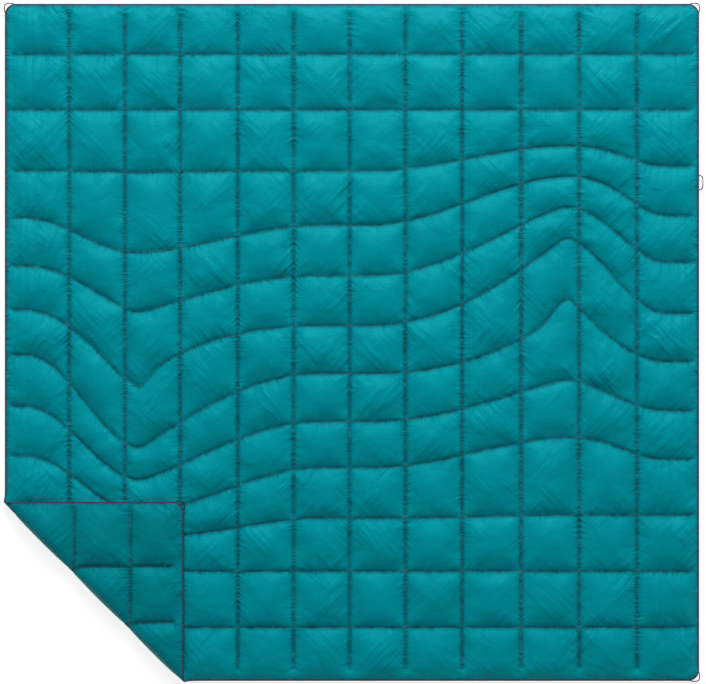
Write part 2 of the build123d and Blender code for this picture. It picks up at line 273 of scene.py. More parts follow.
TO_ROW, TO_COLUMN, BELOW_ROW = seam_distance()
ROW_SEWN = smooth((ROW_END - np.abs(GRID[..., 0])) / SEAM_FADE)
COLUMN_SEWN = smooth((COLUMN_END - np.abs(GRID[..., 1])) / SEAM_FADE)
FROM_SHADE = TO_ROW - BELOW_ROW * ROW_SHADE_DROP
ROW_SHADE = ROW_SHADE_DEPTH * np.exp(-((FROM_SHADE / ROW_SHADE_WIDTH) ** 2)) * ROW_SEWN
COLUMN_SHADE = COLUMN_SHADE_DEPTH * np.exp(-((TO_COLUMN / COLUMN_SHADE_WIDTH) ** 2)) * COLUMN_SEWN
# the painted seam shade comes and goes in blotches
SHADE_BLOTCHES = 1 + SHADE_BLOTCH_DEPTH * ripples(28, SHADE_BLOTCH_SIZE, SHADE_BLOTCH_SIZE)
# painted shade: how far the material darkens the cloth's colour along the seams, where shade falls in their
# valleys
PAINTED_SEAM_SHADE = np.clip(np.maximum(ROW_SHADE, COLUMN_SHADE) * SHADE_BLOTCHES, 0, 1)


# ---------------------------------------------------------------- meshes
def new_piece(name, mesh, body=None):
    """An object that shows the mesh, and rides on a body if one is named."""
    piece = bpy.data.objects.new(name, mesh)
    bpy.context.scene.collection.objects.link(piece)
    if body:
        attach(piece, body)
    return piece


def new_mesh(name, points, faces, material, body=None):
    """A smooth mesh in one material, as a piece."""
    mesh = bpy.data.meshes.new(name)
    mesh.from_pydata(np.asarray(points).tolist(), [], [list(map(int, face)) for face in faces])
    mesh.materials.append(material)
    mesh.polygons.foreach_set("use_smooth", np.ones(len(mesh.polygons), bool))
    mesh.update()
    return new_piece(name, mesh, body)


def grid_faces(rows, columns):
    """Faces of a grid of points, turned up."""
    index = np.arange(rows * columns).reshape(rows, columns)
    corners = (index[1:, :-1], index[1:, 1:], index[:-1, 1:], index[:-1, :-1])
    return np.stack(corners, -1)


# ---------------------------------------------------------------- inflation of the cloth
def doubled(values, creases, axis):
    """Values on every second grid line, spread smoothly to all of them, apart from creases at the seams."""
    values = np.moveaxis(values, axis, 0)
    creases = creases.reshape(-1, *[1] * (values.ndim - 1))
    here, there = values[:-1], values[1:]
    before = np.where(creases[:-1], 2 * here - there, np.roll(values, 1, 0)[:-1])
    after = np.where(creases[1:], 2 * there - here, np.roll(values, -1, 0)[1:])
    result = np.empty((2 * len(values) - 1, *values.shape[1:]))
    result[::2] = values
    result[1::2] = (9 * (here + there) - before - after) / 16
    return np.moveaxis(result, 0, axis)


def inflate():
    """How far the face cloth moves, (across, along, up), by Blender's Cloth: a sheet that is cut a little
    too large, held along the seams and blown up."""
    place, sewn = GRID[::2, ::2], SEWN[::2, ::2]
    rows, columns = sewn.shape
    random = np.random.default_rng(11)
    start = np.where(sewn, 0, START_LIFT + random.normal(0, START_NOISE, sewn.shape))
    points = np.concatenate([place, start[..., None]], -1).reshape(-1, 3)
    mesh = bpy.data.meshes.new("inflation")
    mesh.from_pydata(points.tolist(), [], grid_faces(rows, columns).reshape(-1, 4).tolist())
    sheet = bpy.data.objects.new("inflation", mesh)
    scene = bpy.context.scene
    scene.collection.objects.link(sheet)
    held = sheet.vertex_groups.new(name="sewn")
    held.add(np.nonzero(sewn.ravel())[0].tolist(), 1.0, "REPLACE")
    modifier = sheet.modifiers.new("cloth", "CLOTH")
    cloth = modifier.settings
    cloth.quality = 4
    cloth.mass = 0.08
    cloth.tension_stiffness = cloth.compression_stiffness = cloth.shear_stiffness = 3
    cloth.bending_stiffness = 0.1
    cloth.tension_damping = cloth.compression_damping = cloth.shear_damping = 5
    cloth.air_damping = 2
    cloth.vertex_group_mass = "sewn"
    cloth.shrink_min = -SLACK
    cloth.use_pressure = True
    cloth.uniform_pressure_force = PRESSURE
    cloth.effector_weights.gravity = 0
    modifier.collision_settings.use_collision = False
    modifier.point_cache.frame_start = 1
    modifier.point_cache.frame_end = FRAMES + 1
    for step in range(1, FRAMES + 1):
        scene.frame_set(step)
    done = sheet.evaluated_get(bpy.context.evaluated_depsgraph_get())
    result = np.zeros(rows * columns * 3, np.float32)
    done.data.vertices.foreach_get("co", result)
    scene.frame_set(1)
    bpy.data.objects.remove(sheet)
    bpy.data.meshes.remove(mesh)
    moved = result.reshape(rows, columns, 3) - np.concatenate([place, np.zeros((rows, columns, 1))], -1)
    for _ in range(SMOOTHINGS):
        beside = moved[:-2, 1:-1] + moved[2:, 1:-1] + moved[1:-1, :-2] + moved[1:-1, 2:]
        loose = ~sewn[1:-1, 1:-1, None]
        moved[1:-1, 1:-1] += loose * (beside / 4 - moved[1:-1, 1:-1]) / 2
    return doubled(doubled(moved, ON_ROW[::2], 0), ON_COLUMN[::2], 1)


def pleat_places():
    """For each grid point: where its pleat starts along the nearest row seam and along the nearest column
    seam, and how strongly the cloth is gathered there."""
    x, y = GRID[..., 0], GRID[..., 1]
    slope = np.gradient(y, axis=1) / np.gradient(x, axis=1)
    foot = x + slope * (y - y[nearest_rows()]) / (1 + slope**2)
    lean = COLUMN_LEAN * np.clip(ripples(26, CHAMBER, LEAN_RUN), -1, 1)
    patchy = smooth(PATCH_LEVEL + PATCH_SPREAD * ripples(27, PATCH_ACROSS, PATCH_ALONG))
    return foot, y - lean * TO_COLUMN, patchy


ROW_FOOT, COLUMN_FOOT, PATCHY = pleat_places()
COLUMN_PATCHY = COLUMN_GATHER + PATCHY


def gathered(distance, reach, rise):
    """How strong a seam's pleats are at a distance from it: they rise close by and die away over reach."""
    return np.exp(-distance / reach) * (1 - np.exp(-distance / rise))


def pleats():
    """Small folds that run out from the seams and the binding, where the cloth is gathered."""
    x, y = GRID[..., 0], GRID[..., 1]
    at_row = gathered(TO_ROW, ROW_REACH, ROW_RISE) * PATCHY
    height = ROW_PLEAT * at_row * ripples(21, PLEAT_PITCH, ROW_RUN, ROW_FOOT)
    at_column = gathered(TO_COLUMN, COLUMN_REACH, COLUMN_RISE) * COLUMN_PATCHY
    height += COLUMN_PLEAT * at_column * ripples(22, COLUMN_RUN, PLEAT_PITCH, x, COLUMN_FOOT)
    side = np.minimum(HALF_WIDTH - np.abs(x), EDGE_DEPTH)
    end = np.minimum(HALF_LENGTH - np.abs(y), EDGE_DEPTH)
    slanted = y + SIDE_LEAN * side
    fanned = y + END_LEAN * (x - np.round(x / CHAMBER) * CHAMBER)
    at_side, at_end = gathered(side, SIDE_REACH, EDGE_RISE), gathered(end, END_REACH, EDGE_RISE)
    height += EDGE_PLEAT * at_side * ripples(23, EDGE_RUN, EDGE_PITCH, x, slanted)
    height += EDGE_PLEAT * at_end * ripples(24, EDGE_RUN, EDGE_PITCH, x, fanned)
    past_outer = np.maximum(side - OUTER_COLUMN, 0)
    in_outer = np.exp(-past_outer / STREAK_FADE) * (1 - np.exp(-side / STREAK_FADE))
    streaks = in_outer * (1 - np.exp(-TO_ROW / STREAK_RISE)) * (past_fold(GRID) < 0)
    return height + ROW_PLEAT * streaks * ripples(25, PLEAT_PITCH, STREAK_RUN, ROW_FOOT)


# ---------------------------------------------------------------- the fold
def past_fold(place):
    """Signed distance beyond the fold, towards the corner, in the flat layout."""
    return (FOLD_SUM - place[..., 0] - place[..., 1]) / math.sqrt(2)


def lay(place, height):
    """Points of the flat layout, at a height over the seams, where they lie on the folded blanket."""
    x, y = place[..., 0].copy(), place[..., 1].copy()
    beyond = past_fold(place)
    turned = smooth((beyond + WRAP) / (2 * WRAP))
    from_edge = np.minimum(x + HALF_WIDTH, y + HALF_LENGTH)
    droop = DROOP * (1 - smooth(from_edge / DROOP_REACH)) * smooth(beyond / DROOP_REACH)
    z = SEAM_Z + (FLAP_SEAM_FLAT - SEAM_Z) * turned + height + droop
    radius = FOLD_Z - z
    angle = np.clip((beyond + WRAP) / (2 * WRAP), 0, 1) * math.pi
    reach = WRAP + BULGE * radius / FOLD_Z
    bent = -WRAP + reach * np.sin(angle)
    flat_part, turned_part = beyond <= -WRAP, beyond >= WRAP
    new = np.where(flat_part, beyond, np.where(turned_part, -beyond, bent))
    z = np.where(flat_part, z, np.where(turned_part, 2 * FOLD_Z - z, FOLD_Z - radius * np.cos(angle)))
    mirrored = 2 * np.maximum(beyond, 0)
    extra = (beyond - new - mirrored) / math.sqrt(2)
    at_left = 1 - smooth((x + HALF_WIDTH) / EDGE_HOLD)
    at_bottom = 1 - smooth((y + HALF_LENGTH) / EDGE_HOLD)
    beyond_half = smooth(0.5 + beyond / WRAP)
    x_share = (1 - at_left * (1 - beyond_half)) * (1 - at_bottom * beyond_half)
    y_share = (1 - at_bottom * (1 - beyond_half)) * (1 - at_left * beyond_half)
    mirrored /= math.sqrt(2)
    return np.stack([x + mirrored + extra * x_share, y + mirrored + extra * y_share, z], -1)


def cushioned(height, room):
    """A puffed height pressed against a flat surface that leaves this much room."""
    return room * np.tanh(PRESS * height / room)


MOVED = inflate()
PUFFED_PLACE = GRID + MOVED[..., :2]
SWELL = np.maximum(MOVED[..., 2], 0)
TYPICAL = np.percentile(SWELL, 90)
PUFFED_HEIGHT = PUFF * (SWELL / TYPICAL) ** STEEPNESS + pleats() * (SWELL > 0)
BEYOND = past_fold(GRID)
FLAP_SHARE = smooth((BEYOND + WRAP) / (2 * WRAP))
EDGE_DISTANCE = np.minimum(HALF_WIDTH - np.abs(GRID[..., 0]), HALF_LENGTH - np.abs(GRID[..., 1]))
EDGE_LIFT = TAPE_LIP * np.exp(-EDGE_DISTANCE / LIP_REACH)
FOLDED_X, FOLDED_Y = FOLD_SUM + HALF_LENGTH, FOLD_SUM + HALF_WIDTH  # the folded corner's free edges
FLAP_MARGIN, FLAP_FADE = 0.02, 0.05  # the cloth is pressed this far past them, and eases over this far
LEFT_OF_FLAP_EDGE = smooth((FOLDED_X + FLAP_MARGIN - GRID[..., 0]) / FLAP_FADE)
UNDER_FLAP = LEFT_OF_FLAP_EDGE * smooth((FOLDED_Y + FLAP_MARGIN - GRID[..., 1]) / FLAP_FADE)
PRESSED_BY_FLAP = cushioned(PUFFED_HEIGHT, LOFT_TOP - SEAM_Z)
FACE_ON_BLANKET = (1 - UNDER_FLAP) * PUFFED_HEIGHT + UNDER_FLAP * PRESSED_BY_FLAP
FACE_ON_FLAP = cushioned(PUFFED_HEIGHT, FLAP_ROOM)
FACE_HEIGHT = (1 - FLAP_SHARE) * FACE_ON_BLANKET + FLAP_SHARE * FACE_ON_FLAP + EDGE_LIFT
PRESSED_BY_FLOOR = cushioned(PUFFED_HEIGHT, SEAM_Z - FLOOR_GAP)
BACK_HEIGHT = -(FLAP_SHARE * PUFFED_HEIGHT + (1 - FLAP_SHARE) * PRESSED_BY_FLOOR + EDGE_LIFT)


def cloth_piece(name, height, keep, material, body=None, step=1, flip=False):
    """A piece of the quilt's cloth: the grid's faces for which keep is true. For its material it carries
    flat coordinates, its closeness to the seams, the painted shade along them and where its pleats start
    along them."""
    rows = np.arange(0, GRID.shape[0], step)
    columns = np.arange(0, GRID.shape[1], step)
    pick = np.ix_(rows, columns)
    place, flat = PUFFED_PLACE[pick], GRID[pick]
    points = lay(place, height[pick]).reshape(-1, 3)
    faces = grid_faces(len(rows), len(columns))
    wanted = keep[pick]
    wanted = wanted[:-1, :-1] & wanted[1:, :-1] & wanted[:-1, 1:] & wanted[1:, 1:]
    faces = faces[wanted]
    if flip:
        faces = faces[:, ::-1]
    used, order = np.unique(faces, return_inverse=True)
    faces = order.reshape(-1, 4)
    mesh = bpy.data.meshes.new(name)
    mesh.from_pydata(points[used].tolist(), [], faces.tolist())
    mesh.polygons.foreach_set("use_smooth", np.ones(len(mesh.polygons), bool))
    layer = mesh.uv_layers.new(name="flat")
    layer.data.foreach_set("uv", flat.reshape(-1, 2)[used][faces.ravel()].astype(np.float32).ravel())
    shares = {
        "row_pleats": PATCHY * np.exp(-TO_ROW / ROW_CREASE_REACH),
        "column_pleats": COLUMN_PATCHY * np.exp(-TO_COLUMN / COLUMN_REACH),
        # painted shade along the seams, for the base colour
        "painted_seam_shade": PAINTED_SEAM_SHADE,
        "row_foot": ROW_FOOT,
        "column_foot": COLUMN_FOOT,
    }
    for label, share in shares.items():
        values = share[pick].reshape(-1)[used].astype(np.float32)
        mesh.attributes.new(label, "FLOAT", "POINT").data.foreach_set("value", values)
    mesh.materials.append(material)
    mesh.update()
    return new_piece(name, mesh, body)


# ---------------------------------------------------------------- materials
TEAL, TEAL_DARK, TEAL_LIGHT = (0.0, 0.22, 0.26), (0.0, 0.2, 0.24), (0.0, 0.225, 0.268)
# the colour of the painted shade along the seams
TEAL_SEAM_SHADE = (0.002, 0.07, 0.095)
SHEEN_TINT = (0.03, 0.75, 0.8)
BLACK, WHITE = (0, 0, 0), (1, 1, 1)
SHELL_ROUGHNESS = 0.42, 0.56  # in the crinkles' hollows and on their crowns
CREASE_TURN = 0.75  # how far the creases slant, in radians
# the depth of each bump in the shell fabric
PLEAT_BUMP, CRINKLE_BUMP, CREASE_BUMP, RIPSTOP_BUMP = 0.008, 0.0034, 0.0068, 0.00012


class Nodes:
    """A material's node tree, and short ways to add to it."""

    def __init__(self, name, colour, roughness):
        self.material = bpy.data.materials.new(name)
        self.material.use_nodes = True
        self.tree = self.material.node_tree
        self.shader = self.tree.nodes["Principled BSDF"]
        self.shader.inputs["Base Color"].default_value = (*colour, 1)
        self.shader.inputs["Roughness"].default_value = roughness

    def add(self, kind, links=None, **settings):
        """A new node, with its settings made and its inputs linked."""
        node = self.tree.nodes.new(kind)
        for label, value in settings.items():
            if hasattr(node, label):
                setattr(node, label, value)
            else:
                node.inputs[label.replace("_", " ")].default_value = value
        for socket, source in (links or {}).items():
            self.tree.links.new(source, node.inputs[socket])
        return node

    def math(self, operation, first, second):
        """The result of an operation on two values, each a number or an output."""
        node = self.add("ShaderNodeMath", operation=operation)
        for socket, value in zip(node.inputs, (first, second)):
            if isinstance(value, (int, float)):
                socket.default_value = value
            else:
                self.tree.links.new(value, socket)
        return node.outputs[0]

    def bump(self, height, distance, below=None):
        """A bump of this depth in metres, on top of the one below."""
        node = self.add("ShaderNodeBump", Strength=1.0, Distance=distance)
        self.tree.links.new(height, node.inputs["Height"])
        if below:
            self.tree.links.new(below, node.inputs["Normal"])
        return node.outputs["Normal"]

    def ramp(self, factor, dark, light, low, high):
        """A colour that goes from dark, where the factor is low, to light, where it is high."""
        node = self.add("ShaderNodeValToRGB")
        node.color_ramp.elements[0].position = low
        node.color_ramp.elements[1].position = high
        node.color_ramp.elements[0].color = (*dark, 1)
        node.color_ramp.elements[1].color = (*light, 1)
        self.tree.links.new(factor, node.inputs["Fac"])
        return node.outputs["Color"]

    def to(self, socket, source):
        """Link an output to the material's shader."""
        self.tree.links.new(source, self.shader.inputs[socket])


def shell_fabric(name, tone_scale):
    """Teal ripstop nylon: a fine weave with a small raised grid, pleats at the seams, soft crinkles and
    patches of slanting creases, and painted shade in its colour along the seams."""
    m = Nodes(name, TEAL, 0.46)
    m.shader.inputs["Specular IOR Level"].default_value = 0.27
    m.shader.inputs["Specular Tint"].default_value = (*SHEEN_TINT, 1)
    flat = m.add("ShaderNodeUVMap", uv_map="flat").outputs["UV"]

    def stretched(across, along, detail=2.0, place=flat, turn=0.0):
        """Noise with this many waves in a metre each way, before it is turned."""
        if turn:
            turned = m.add("ShaderNodeVectorRotate", {"Vector": place}, rotation_type="Z_AXIS", Angle=turn)
            place = turned.outputs[0]
        scale = m.add("ShaderNodeMapping", {"Vector": place}, Scale=(across, along, 1))
        noise = m.add("ShaderNodeTexNoise", {"Vector": scale.outputs[0]}, Scale=1.0, Detail=detail)
        return noise.outputs["Fac"]

    near_row = m.add("ShaderNodeAttribute", attribute_name="row_pleats").outputs["Fac"]
    near_column = m.add("ShaderNodeAttribute", attribute_name="column_pleats").outputs["Fac"]
    feet = m.add("ShaderNodeCombineXYZ")
    for axis, label in enumerate(("row_foot", "column_foot")):
        foot = m.add("ShaderNodeAttribute", attribute_name=label).outputs["Fac"]
        m.tree.links.new(foot, feet.inputs[axis])
    row_pleats = m.math("MULTIPLY", stretched(110, 12, place=feet.outputs[0]), near_row)
    column_pleats = m.math("MULTIPLY", stretched(12, 110, place=feet.outputs[0]), near_column)
    pleats = m.math("ADD", row_pleats, column_pleats)
    crinkle = stretched(22, 20, 3.0)
    creases = []
    for turn in (CREASE_TURN, -CREASE_TURN):
        here = m.ramp(stretched(8, 6, 1.0, turn=turn), BLACK, WHITE, 0.5, 0.7)
        creases.append(m.math("MULTIPLY", stretched(56, 10, 1.0, turn=turn), here))
    creases = m.math("ADD", creases[0], creases[1])
    grid = []
    for axis in (0, 1):
        wave = m.add("ShaderNodeTexWave", {"Vector": flat}, bands_direction="XY"[axis], Scale=32.0)
        grid.append(m.math("POWER", wave.outputs["Fac"], 12.0))
    ripstop = m.math("MAXIMUM", grid[0], grid[1])
    normal = m.bump(pleats, PLEAT_BUMP)
    normal = m.bump(crinkle, CRINKLE_BUMP, below=normal)
    normal = m.bump(creases, CREASE_BUMP, below=normal)
    normal = m.bump(ripstop, RIPSTOP_BUMP, below=normal)
    m.to("Normal", normal)
    dark = tuple(tone_scale * part for part in TEAL_DARK)
    light = tuple(tone_scale * part for part in TEAL_LIGHT)
    tone = m.ramp(stretched(5, 5, 4.0), dark, light, 0.3, 0.7)
    # painted shade: near the seams the base colour is mixed towards a dark teal, where shade falls in their
    # valleys
    painted_seam_shade = m.add("ShaderNodeAttribute", attribute_name="painted_seam_shade").outputs["Fac"]
    mixed = m.add("ShaderNodeMix", {"Factor": painted_seam_shade}, data_type="RGBA")
    colour_sockets = [socket for socket in mixed.inputs if socket.type == "RGBA"]
    m.tree.links.new(tone, colour_sockets[0])
    colour_sockets[1].default_value = (*TEAL_SEAM_SHADE, 1)
    m.to("Base Color", next(socket for socket in mixed.outputs if socket.type == "RGBA"))
    smoother, rougher = [(roughness,) * 3 for roughness in SHELL_ROUGHNESS]
    m.to("Roughness", m.ramp(crinkle, smoother, rougher, 0.3, 0.7))
    return m.material


def woven(name, dark, light, roughness, scale, bump, patch=None):
    """Tape, thread or braid: a fine slanting weave whose colour varies with it, or in larger patches of
    painted shade, where a thread sinks between the cloth's puckers.
    """
    m = Nodes(name, light, roughness)
    m.shader.inputs["Specular IOR Level"].default_value = 0.2
    place = m.add("ShaderNodeTexCoord").outputs["Object"]
    across = m.add("ShaderNodeTexWave", {"Vector": place}, bands_direction="DIAGONAL", Scale=scale)
    noise = m.add("ShaderNodeTexNoise", {"Vector": place}, Scale=scale * 0.8, Detail=3.0)
    mixed = m.math("MULTIPLY", across.outputs["Fac"], noise.outputs["Fac"])
    shade = noise
    # the larger patches are painted shade, where a thread sinks between the cloth's puckers
    if patch:
        shade = m.add("ShaderNodeTexNoise", {"Vector": place}, Scale=patch, Detail=1.0)
    m.to("Base Color", m.ramp(shade.outputs["Fac"], dark, light, 0.35, 0.65))
    m.to("Normal", m.bump(mixed, bump))
    return m.material


def sleeve_plastic():
    """Light grey moulded plastic with a faint grain."""
    m = Nodes("sleeve_plastic", (0.55, 0.58, 0.62), 0.38)
    place = m.add("ShaderNodeTexCoord").outputs["Object"]
    grain = m.add("ShaderNodeTexNoise", {"Vector": place}, Scale=1500.0, Detail=2.0).outputs["Fac"]
    m.to("Normal", m.bump(grain, 0.00005))
    m.to("Base Color", m.ramp(grain, (0.5, 0.53, 0.57), (0.6, 0.63, 0.67), 0.3, 0.7))
    return m.material


FABRIC = shell_fabric("shell_fabric", 1.07)
BACK_FABRIC = shell_fabric("shell_fabric_back", 0.82)
# the thread's light end is its own grey-purple; its dark end, in patches, is painted shade where it sinks
# between the cloth's puckers
THREAD = woven("thread", (0.012, 0.03, 0.05), (0.18, 0.16, 0.24), 0.55, 900.0, 0.00008, 80.0)
TAPE = woven("binding_tape", (0.012, 0.02, 0.06), (0.05, 0.042, 0.11), 0.6, 700.0, 0.0002)
CORD = woven("elastic_cord", (0.004, 0.004, 0.006), (0.015, 0.015, 0.02), 0.5, 800.0, 0.0003)
PLASTIC = sleeve_plastic()

# ---------------------------------------------------------------- the quilt's cloth
FILL_NODES = [f"fill_row_{number:02d}" for number in range(1, ROW_COUNT + 1)]
SPLITS = (0, 4, 8, COLUMN_COUNT)
seam_columns = np.nonzero(ON_COLUMN)[0]
for number, (first, last) in enumerate(zip(SPLITS, SPLITS[1:]), start=1):
    inside = np.zeros(GRID.shape[:2], bool)
    inside[:, seam_columns[first]:seam_columns[last] + 1] = True
    inside &= BEYOND <= OVERLAP
    piece = cloth_piece(f"quilt_face_{number}", FACE_HEIGHT, inside, FABRIC, "blanket")
    if number == 1:
        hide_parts("face_shell", *FILL_NODES)

underside = cloth_piece("quilt_back", BACK_HEIGHT, BEYOND <= 0, BACK_FABRIC, "blanket", step=2, flip=True)
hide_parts("back_shell")

flap_inside = cloth_piece("flap_face", FACE_HEIGHT, BEYOND >= -OVERLAP, FABRIC, "corner_flap")
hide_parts("flap_face_shell", "flap_fill")

BACK_OVERLAP = 0.02  # the corner's outer cloth starts this far before the bend
past_bend = BEYOND >= -WRAP - BACK_OVERLAP
flap_outside = cloth_piece("flap_back", BACK_HEIGHT, past_bend, BACK_FABRIC, flip=True)
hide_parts("flap_back_shell")
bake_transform(flap_outside)


# ---------------------------------------------------------------- lines of stitches
def along(points, pitch):
    """Places at even steps along a line of points, and the line's direction there."""
    look = 0.001  # the direction is taken from this far behind to this far ahead
    points = np.asarray(points, float)
    length = np.concatenate([[0], np.cumsum(np.hypot(*np.diff(points, axis=0).T))])
    count = max(1, round(length[-1] / pitch))
    at = (np.arange(count) + 0.5) * length[-1] / count

    def place(distance):
        return np.stack([np.interp(distance, length, points[:, axis]) for axis in (0, 1)], -1)

    direction = place(at + look) - place(at - look)
    return place(at), direction / np.linalg.norm(direction, axis=1)[:, None]


# the faces of a stitch, which is a point, two rings of four points and a point
STITCH_FACES = [(0, 1, 2), (0, 2, 3), (0, 3, 4), (0, 4, 1)]
STITCH_FACES += [(1, 5, 6, 2), (2, 6, 7, 3), (3, 7, 8, 4), (4, 8, 5, 1)]
STITCH_FACES += [(9, 6, 5), (9, 7, 6), (9, 8, 7), (9, 5, 8)]


def stitches(place, direction, height, length, width, thick):
    """Closed spindle shaped stitches, one at each place, in the flat layout: points, heights and faces."""
    side = np.stack([-direction[:, 1], direction[:, 0]], -1)
    shape = [(-0.5, 0, -0.3)]
    for end in (-0.28, 0.28):
        shape += [(end, 0.5, 0), (end, 0, 0.5), (end, -0.5, 0), (end, 0, -0.5)]
    shape.append((0.5, 0, -0.3))
    spots, heights = [], []
    for forward, sideways, up in shape:
        spots.append(place + direction * forward * length + side * sideways * width)
        heights.append(np.full(len(place), height + up * thick))
    spots, heights = np.stack(spots, 1), np.stack(heights, 1)
    count = len(place)
    faces = [[len(shape) * i + corner for corner in face] for i in range(count) for face in STITCH_FACES]
    return spots.reshape(-1, 2), heights.ravel(), faces


def stitch_piece(name, lines, height, pitch, keep, length=0.0044, width=0.0016, thick=0.001):
    """One object with a stitch at every step along the lines, where keep(place) is true."""
    places, directions = zip(*[along(line, pitch) for line in lines])
    place, direction = np.concatenate(places), np.concatenate(directions)
    wanted = keep(place)
    spots, heights, faces = stitches(place[wanted], direction[wanted], height, length, width, thick)
    piece = new_mesh(name, lay(spots, heights), faces, THREAD)
    return piece


COLUMN_SEAMS = [[(x, -COLUMN_END), (x, COLUMN_END)] for x in COLUMN_X[1:-1]]
FINE_X = np.linspace(-ROW_END, ROW_END, 900)
ROW_SEAMS = [np.stack([FINE_X, row_y(row, FINE_X)], -1) for row in range(1, ROW_COUNT)]
THREAD_LIFT = 0.0009
ROW_THREAD_WIDTH = 0.0009
STITCH_PITCH = 0.0064
NEAR_FOLD = 0.003  # no stitch is closer than this to the fold's line, on the inner side
COLUMN_NODES = [f"stitch_column_{number:02d}" for number in range(1, COLUMN_COUNT)]
ROW_NODES = [f"stitch_row_{number:02d}" for number in range(1, ROW_COUNT)]


def before_fold(margin):
    """A test for places that are at least this far before the fold."""
    return lambda place: past_fold(place) < -margin


def after_fold(margin):
    """A test for places that are at least this far past the fold."""
    return lambda place: past_fold(place) > margin


def seam_thread(name, lines, lift, keep, **size):
    """The thread that shows on one side of some seams."""
    return stitch_piece(name, lines, lift, STITCH_PITCH, keep, **size)


ALL_SEAMS = COLUMN_SEAMS + ROW_SEAMS
on_face = before_fold(NEAR_FOLD)
columns_thread = seam_thread("column_thread", COLUMN_SEAMS, THREAD_LIFT, on_face)
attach(columns_thread, "blanket")
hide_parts(*COLUMN_NODES)
rows_thread = seam_thread("row_thread", ROW_SEAMS, THREAD_LIFT, on_face, width=ROW_THREAD_WIDTH)
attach(rows_thread, "blanket")
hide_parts(*ROW_NODES)
under_thread = seam_thread("under_thread", ALL_SEAMS, -THREAD_LIFT, before_fold(WRAP))
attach(under_thread, "blanket")
flap_thread = seam_thread("flap_thread", ALL_SEAMS, -THREAD_LIFT, after_fold(-WRAP))
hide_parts("flap_stitch_columns", "flap_stitch_rows")
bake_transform(flap_thread)
flap_under_thread = seam_thread("flap_under_thread", ALL_SEAMS, THREAD_LIFT, after_fold(NEAR_FOLD))
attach(flap_under_thread, "corner_flap")


# ---------------------------------------------------------------- edge binding
def straight(start, end):
    """The points between a start and an end."""
    count = int(np.linalg.norm(end - start) / EDGE_STEP)
    return start + (end - start) * (np.arange(1, count) / count)[:, None]


def edge_line(inset):
    """The blanket's outline, pulled in, as closed points anticlockwise from the lower right."""
    half_x, half_y, radius = HALF_WIDTH - inset, HALF_LENGTH - inset, CORNER_RADIUS - inset
    points = []
    for quarter, (sign_x, sign_y) in enumerate(((1, -1), (1, 1), (-1, 1), (-1, -1))):
        turn = np.radians(np.linspace(-90, 0, 10) + 90 * quarter)
        centre = np.array([sign_x * (half_x - radius), sign_y * (half_y - radius)])
        arc = centre + radius * np.stack([np.cos(turn), np.sin(turn)], -1)
        if points:
            points.append(straight(points[-1][-1], arc[0]))
        points.append(arc)
    points.append(straight(points[-1][-1], points[0][0]))
    return np.concatenate(points)


def tape_piece():
    """The tape as one mesh, from its section: (distance in from the edge, height). Every ring uses the
    outer ring's points, moved inwards."""
    base = edge_line(0)
    ahead = np.roll(base, -1, 0) - np.roll(base, 1, 0)
    ahead /= np.linalg.norm(ahead, axis=1)[:, None]
    inward = np.stack([-ahead[:, 1], ahead[:, 0]], -1)
    turn = np.radians(np.linspace(90, 270, 9)[1:-1])
    upper = [(TAPE_WIDTH, TAPE_THICK * 0.5), (TAPE_WIDTH, TAPE_THICK * 0.85)]
    upper += [(TAPE_WIDTH * 0.85, TAPE_THICK), (TAPE_FLAT, TAPE_THICK)]
    section = [*upper]
    section += [(TAPE_ROUND + TAPE_ROUND * math.cos(a), TAPE_THICK * math.sin(a)) for a in turn]
    section += [(inset, -height) for inset, height in reversed(upper)]
    random = np.random.default_rng(4)
    ripple = np.convolve(random.normal(0, 1, len(base)), np.ones(5) / 5, "same") * TAPE_RIPPLE
    spots = np.concatenate([base + inward * inset for inset, _ in section])
    heights = np.concatenate([height + ripple for _, height in section])
    index = np.arange(len(section) * len(base)).reshape(len(section), len(base))
    beside = np.roll(index, -1, 1)
    over = np.roll(index, -1, 0)
    over_beside = np.roll(over, -1, 1)
    faces = np.stack([index, over, over_beside, beside], -1).reshape(-1, 4)
    return new_mesh("binding_tape", lay(spots, heights), faces, TAPE)


binding = tape_piece()
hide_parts("edge_binding", "flap_binding")
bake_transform(binding)

HEM_INSET, HEM_LIFT, HEM_PITCH = 0.0055, 0.0023, 0.0052
hem_line = edge_line(HEM_INSET)
hem_line = np.concatenate([hem_line, hem_line[:1]])


def everywhere(place):
    """A test that every place passes."""
    return np.ones(len(place), bool)


for side, sign in (("upper", 1), ("lower", -1)):
    hem = stitch_piece(f"binding_thread_{side}", [hem_line], sign * HEM_LIFT, HEM_PITCH, everywhere)
    if sign == 1:
        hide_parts("binding_stitching", "flap_binding_stitching")
    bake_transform(hem)


# ---------------------------------------------------------------- bar tacks
TACK_HALF_LENGTH, TACK_LIFT = 0.004, 0.0027
TACK_STITCHES, TACK_LEAN = 13, 0.35
TACK_STITCH = (0.0034, 0.0009, 0.0009)  # length, width and thickness


def bar_tack(place, angle, sign):
    """Dense stitches across a short bar, which lean one way and the other by turns."""
    forward = np.array([math.cos(angle), math.sin(angle)])
    across = np.array([-forward[1], forward[0]])
    steps = np.linspace(-TACK_HALF_LENGTH, TACK_HALF_LENGTH, TACK_STITCHES)
    leans = np.where(np.arange(TACK_STITCHES) % 2, TACK_LEAN, -TACK_LEAN)
    ways = across + forward * leans[:, None]
    ways /= np.linalg.norm(ways, axis=1)[:, None]
    return stitches(np.array(place) + forward * steps[:, None], ways, sign * TACK_LIFT, *TACK_STITCH)


